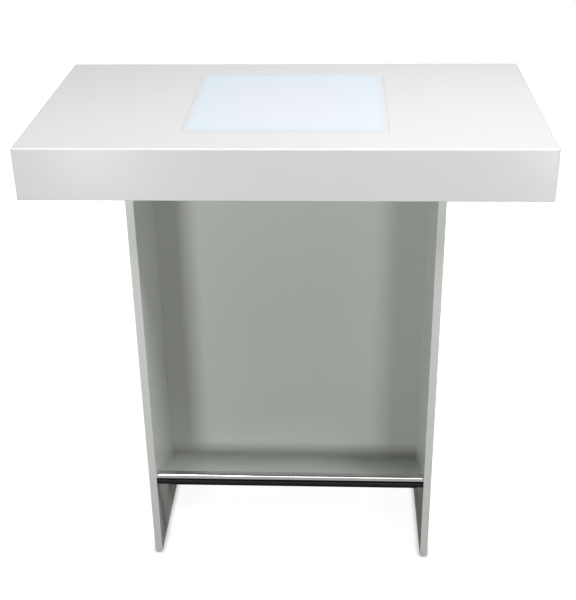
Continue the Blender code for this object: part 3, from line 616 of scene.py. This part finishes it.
# Light: four strips of white circuit board with nine diodes each, stuck to a white coated sheet
# at the bottom of the well, and a moulded driver for them in the rear bay.
sheet_white = (0.84, 0.84, 0.83, 1)
sheet_roughness = 0.5
sheet_peel_strength = 0.15
board_white = (0.86, 0.86, 0.82, 1)
board_mask_scale = 900
diode_light = (0.80, 0.90, 1.0, 1)
diode_strength = 1.5
terminal_length = 0.010
terminal_height = 0.006
diode_height = 0.0018
first_strip, strip_top = corners_of("led_strip_1")
white_sheet, tree, shader = new_finish("white_sheet")
coat = use_group(tree, sprayed_lacquer, {"Paint": sheet_white, "Sheen": sheet_roughness})
tree.links.new(coat.outputs["Color"], shader.inputs["Base Color"])
tree.links.new(coat.outputs["Roughness"], shader.inputs["Roughness"])
raise_surface(tree, shader, coat.outputs["Height"], sheet_peel_strength, lacquer_peel_depth)
dress(white_sheet, "led_plate")
circuit_board, tree, shader = new_finish("white_circuit_board")
place = own_coordinates(tree)
mask_tone = spread(tree, noise(tree, place, board_mask_scale, 2), 0.35, 0.65, 0.96, 1.0)
tree.links.new(blend(tree, 1.0, board_white, mask_tone, "MULTIPLY"), shader.inputs["Base Color"])
tree.links.new(spread(tree, mask_tone, 0.96, 1.0, 0.35, 0.45), shader.inputs["Roughness"])
level = put_node(tree, "SeparateXYZ")
tree.links.new(place, level.inputs[0])
board_face = strip_top.z - terminal_height
raised = calculate(tree, "GREATER_THAN", level.outputs["Z"], board_face + diode_height / 2)
past_terminal = calculate(tree, "GREATER_THAN", level.outputs["X"], first_strip.x + terminal_length)
lit = calculate(tree, "MULTIPLY", raised, past_terminal)
tree.links.new(blend(tree, lit, (0, 0, 0, 1), diode_light), shader.inputs["Emission Color"])
shader.inputs["Emission Strength"].default_value = diode_strength
dress(circuit_board, *[f"led_strip_{number}" for number in (1, 2, 3, 4)])
driver_grey = (0.55, 0.56, 0.57, 1)
driver_rubbed = (0.48, 0.49, 0.50, 1)
driver_fineness = 900
grey_plastic, tree, shader = new_finish("grey_plastic")
grain = use_group(tree, moulded_grain, {"Fineness": driver_fineness})
tree.links.new(
    blend(tree, grain.outputs["Rub"], driver_grey, driver_rubbed), shader.inputs["Base Color"])
tree.links.new(
    spread(tree, grain.outputs["Grain"], 0.3, 0.7, 0.45, 0.6), shader.inputs["Roughness"])
raise_surface(tree, shader, grain.outputs["Grain"], moulded_strength, moulded_depth)
dress(grey_plastic, "led_driver")

# Inlet and switch: black moulded housings in cut-outs of the underside board, which face down
# behind the centre panel, and a rocker that tips on its pins in the switch.
dress(black_plastic, "power_inlet", "switch_housing", "switch_rocker")

# Leads: round sheathed leads inside the box top, from the inlet over the switch to the driver,
# and from the driver through the rear web to the first strip.
sheath_black = (0.020, 0.020, 0.022, 1)
sheath_dusty = (0.050, 0.049, 0.047, 1)
dust_scale = 90
mains_radius = 0.003
led_radius = 0.002
lead_gap = 0.0003
lead_straight = 0.012
lead_arch = 0.036
lead_curve_steps = 10
lead_round_steps = 5
switch_spacing = 0.009
driver_lug = 0.010
driver_outlet = 0.014
inlet_low, inlet_high = corners_of("power_inlet")
switch_low, switch_high = corners_of("switch_housing")
driver_low, driver_high = corners_of("led_driver")
web_low, web_high = corners_of("rear_web")
bay_y = (driver_low.y + driver_high.y) / 2
inlet_x = (inlet_low.x + inlet_high.x) / 2
inlet_top = inlet_high.z + lead_gap
enters = (switch_low.x + switch_high.x + switch_spacing) / 2
leaves = enters - switch_spacing
switch_top = switch_high.z + lead_gap
arch_top = inlet_top + lead_arch
outlet = driver_low.z + driver_outlet
driver_right = driver_high.x - driver_lug + lead_gap
driver_left = driver_low.x + driver_lug - lead_gap
terminal_x = first_strip.x + terminal_length / 2
terminal_y = strip_top.y + lead_gap
terminal_z = strip_top.z - terminal_height / 2
lead_routes = (
    ("inlet_lead", mains_radius, (
        (inlet_x, bay_y, inlet_top), (inlet_x, bay_y, inlet_top + lead_straight),
        ((inlet_x + enters) / 2, bay_y, arch_top),
        (enters, bay_y, switch_top + lead_straight), (enters, bay_y, switch_top))),
    ("supply_lead", mains_radius, (
        (leaves, bay_y, switch_top), (leaves, bay_y, switch_top + lead_straight),
        ((leaves + driver_right) / 2, bay_y, (arch_top + outlet) / 2),
        (driver_right + lead_straight, bay_y, outlet), (driver_right, bay_y, outlet))),
    ("led_lead", led_radius, (
        (driver_left, bay_y, outlet), (driver_left - lead_straight, bay_y, outlet),
        (terminal_x, web_high.y + lead_straight, outlet), (terminal_x, web_high.y, outlet),
        (terminal_x, web_low.y, outlet), (terminal_x, web_low.y - lead_straight, outlet),
        (terminal_x, terminal_y + lead_straight, terminal_z), (terminal_x, terminal_y, terminal_z))),
)
black_sheath, tree, shader = new_finish("black_sheath")
dust = spread(tree, noise(tree, own_coordinates(tree), dust_scale, 4), 0.45, 0.7, 0, 1)
tree.links.new(blend(tree, dust, sheath_black, sheath_dusty), shader.inputs["Base Color"])
tree.links.new(spread(tree, dust, 0, 1, 0.48, 0.62), shader.inputs["Roughness"])
for name, radius, route in lead_routes:
    line = bpy.data.curves.new(f"{name}_sheath", "CURVE")
    line.dimensions = "3D"
    line.resolution_u = lead_curve_steps
    line.bevel_depth = radius
    line.bevel_resolution = lead_round_steps
    line.use_fill_caps = True
    spline = line.splines.new("BEZIER")
    spline.bezier_points.add(len(route) - 1)
    for knot, point in zip(spline.bezier_points, route):
        knot.co = point
        knot.handle_left_type = knot.handle_right_type = "AUTO"
    line.materials.append(black_sheath)
    lead = bpy.data.objects.new(f"{name}_sheath", line)
    scene.collection.objects.link(lead)
    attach(lead, "table")
    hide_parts(name)

# Skin of the box top: a top board with a rebated opening and four aprons, mitred to it so that
# the lacquer runs round the rounded arrises. The underside board, which closes the box and is
# screwed to the pedestal, has the same lacquer.
top_white = (0.80, 0.80, 0.80, 1)
top_lacquer, tree, shader = new_finish("top_lacquer")
coat = use_group(tree, sprayed_lacquer, {"Paint": top_white, "Sheen": lacquer_roughness})
tree.links.new(coat.outputs["Color"], shader.inputs["Base Color"])
tree.links.new(coat.outputs["Roughness"], shader.inputs["Roughness"])
raise_surface(tree, shader, coat.outputs["Height"], lacquer_peel_strength, lacquer_peel_depth)
shader.inputs["Coat Weight"].default_value = lacquer_coat
shader.inputs["Coat Roughness"].default_value = lacquer_coat_roughness
dress(top_lacquer, "top_board", "front_apron", "rear_apron", "left_apron", "right_apron",
      "underside_board")

# Seam filler: white filler in the mitred seams of the box top, along its upper edges and down its
# corners, sanded flush with the rounded arrises and sprayed over together with them.
seam_sink = 0.00172
seam_depth = 0.002
seam_width = 0.0002
seam_stop = 0.003
seam_foot = 0.001


def lay_seam(name, start, end, inwards):
    """A flat strip of filler between two ends on a sharp corner, sunk to the rounded arris."""
    along = (end - start).normalized()
    into = inwards.normalized()
    turn = Matrix((along, into, along.cross(into))).transposed().to_4x4()
    middle = (start + end) / 2 + into * (seam_sink + seam_depth / 2)
    size = Matrix.Diagonal(((end - start).length, seam_depth, seam_width, 1))
    shape = bmesh.new()
    bmesh.ops.create_cube(shape, size=1, matrix=Matrix.Translation(middle) @ turn @ size)
    add_piece(f"{name}_seam", shape, top_lacquer)


top_low, top_high = (Vector(corner) for corner in cad_box)
top_low.z = corners_of("front_apron")[0].z + seam_foot
for face, edge_y, back in (("front", top_low.y, 1), ("rear", top_high.y, -1)):
    lay_seam(
        face, Vector((top_low.x + seam_stop, edge_y, top_high.z)),
        Vector((top_high.x - seam_stop, edge_y, top_high.z)), Vector((0, back, -1)))
    for side, edge_x, across in (("left", top_low.x, 1), ("right", top_high.x, -1)):
        lay_seam(
            f"{face}_{side}", Vector((edge_x, edge_y, top_low.z)),
            Vector((edge_x, edge_y, top_high.z - seam_stop)), Vector((across, back, 0)))
for side, edge_x, across in (("left", top_low.x, 1), ("right", top_high.x, -1)):
    lay_seam(
        side, Vector((edge_x, top_low.y + seam_stop, top_high.z)),
        Vector((edge_x, top_high.y - seam_stop, top_high.z)), Vector((across, 0, -1)))

# Joint lining: a thin white strip on edge round the opening, between the board and the light
# panel, so that no dark joint shows. It is glued to the board and stays when the panel lifts out.
lining_thickness = 0.0008
lining_gap = 0.00005
lining_sink = 0.0001
lining_corner = 0.0055
lining_steps = 6
joint_width = 0.001
panel_low, panel_high = corners_of("diffuser_panel")
lining_outer = panel_high.x + joint_width - lining_gap
lining_bottom = panel_low.z + lining_gap
lining_top = panel_high.z - lining_sink


def rounded_square(shape, half, corner, level):
    """The points of a square with rounded corners at one level."""
    points = []
    for quarter in range(4):
        turn = quarter * math.pi / 2
        middle = Vector((half - corner, half - corner, level))
        for step in range(lining_steps + 1):
            angle = step / lining_steps * math.pi / 2
            point = middle + corner * Vector((math.cos(angle), math.sin(angle), 0))
            points.append(shape.verts.new(Matrix.Rotation(turn, 3, "Z") @ point))
    return points


shape = bmesh.new()
loops = [
    rounded_square(shape, lining_outer - inset, lining_corner - inset, level)
    for inset, level in (
        (0, lining_bottom), (0, lining_top),
        (lining_thickness, lining_top), (lining_thickness, lining_bottom))]
for near, far in zip(loops, loops[1:] + loops[:1]):
    for first, second, third, fourth in zip(near, near[1:] + near[:1], far[1:] + far[:1], far):
        shape.faces.new((first, second, third, fourth))
bmesh.ops.recalc_face_normals(shape, faces=shape.faces[:])
add_piece("joint_lining", shape, top_lacquer)

# Light panel: milky acrylic, loose in its rebate and flush with the top, so that it lifts out.
# It glows coolly, bluer towards its border, and fades where it lies on the lip of the rebate.
panel_milk = (0.76, 0.77, 0.78, 1)
panel_milk_scale = 5
panel_wipe_scale = 12
glow_middle = (0.045, 0.065, 0.115, 1)
glow_border = (0.01, 0.083, 0.137, 1)
glow_inner_edge = 0.200
glow_outer_edge = 0.220
glow_front_short = 0.016
glow_back_long = 0.005
glow_ring_from = 0.10
glow_ring_full = 0.19
opal_acrylic, tree, shader = new_finish("opal_acrylic")
place = own_coordinates(tree)
split = put_node(tree, "SeparateXYZ")
tree.links.new(place, split.inputs[0])
aside = calculate(tree, "ABSOLUTE", split.outputs["X"], 0.0)
backwards = calculate(tree, "SUBTRACT", split.outputs["Y"], glow_back_long)
forwards = calculate(tree, "SUBTRACT", glow_front_short, split.outputs["Y"])
outwards = calculate(tree, "MAXIMUM", aside, calculate(tree, "MAXIMUM", backwards, forwards))
ring = spread(tree, outwards, glow_ring_from, glow_ring_full, 0.0, 1.0)
over_lip = spread(tree, outwards, glow_inner_edge, glow_outer_edge, 0.0, 1.0)
lit = blend(tree, ring, glow_middle, glow_border)
tree.links.new(blend(tree, over_lip, lit, (0, 0, 0, 1)), shader.inputs["Emission Color"])
shader.inputs["Emission Strength"].default_value = 1.0
milk = spread(tree, noise(tree, place, panel_milk_scale, 2), 0.3, 0.7, 0.985, 1.0)
tree.links.new(blend(tree, 1.0, panel_milk, milk, "MULTIPLY"), shader.inputs["Base Color"])
wipes = noise(tree, place, panel_wipe_scale, 5, 0.6, 1.0)
tree.links.new(spread(tree, wipes, 0.3, 0.7, 0.32, 0.42), shader.inputs["Roughness"])
dress(opal_acrylic, "diffuser_panel")
